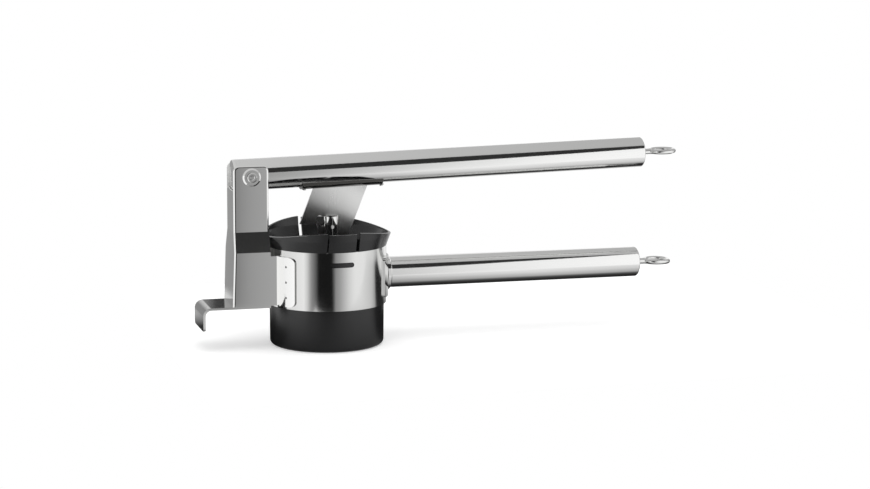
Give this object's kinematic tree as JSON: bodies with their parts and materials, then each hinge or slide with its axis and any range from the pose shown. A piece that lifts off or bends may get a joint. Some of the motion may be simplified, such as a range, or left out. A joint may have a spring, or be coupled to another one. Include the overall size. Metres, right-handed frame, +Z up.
{
  "type": "spaetzle maker",
  "caption": "Lever press for batter: a perforated cup in a steel band, a folded bracket with a rest hook, and a hinged tube arm that drives a plunger disc.",
  "frame": {"origin": "centre of the cup's flat bottom, where the press stands", "axes": "+Z up, +X from the cup towards the handles' free ends, front of the picture faces -Y"},
  "size_m": [0.4061, 0.1056, 0.1608],
  "materials": {
    "steel": "satin",
    "plastic": "satin black"
  },
  "bodies": {
    "frame": {"cup_band": "steel", "insert_cup": "plastic", "sieve_base": "plastic", "bracket": "steel", "rest_hook": "steel", "handle_saddle": "steel", "handle_ring": "steel", "handle_tube": "steel", "handle_plug": "steel", "handle_loop": "steel", "pivot_rivet": "steel", "pivot_washers": "steel"},
    "arm": {"arm_tube": "steel", "arm_tail_disc": "steel", "arm_plug": "steel", "arm_loop": "steel", "pivot_bush": "steel", "link_strip": "steel", "link_plate": "steel"},
    "plunger": {"plunger_rod": "steel", "link_pin": "steel", "backing_plate": "steel", "press_disc": "steel", "disc_screw": "steel"}
  },
  "joints": [
    {"name": "arm_hinge", "type": "hinge", "parent": "frame", "child": "arm", "pos_m": [-0.0641, 0, 0.1384], "axis": [0, -1, 0], "range_deg": [0, 70]},
    {"name": "plunger_slide", "type": "slide", "parent": "frame", "child": "plunger", "axis": [0, 0, 1], "range_m": [0, 0.0926]}
  ],
  "couplings": [
    {"joint": "plunger_slide", "follows": "arm_hinge", "m_per_rad": 0.07563}
  ]
}
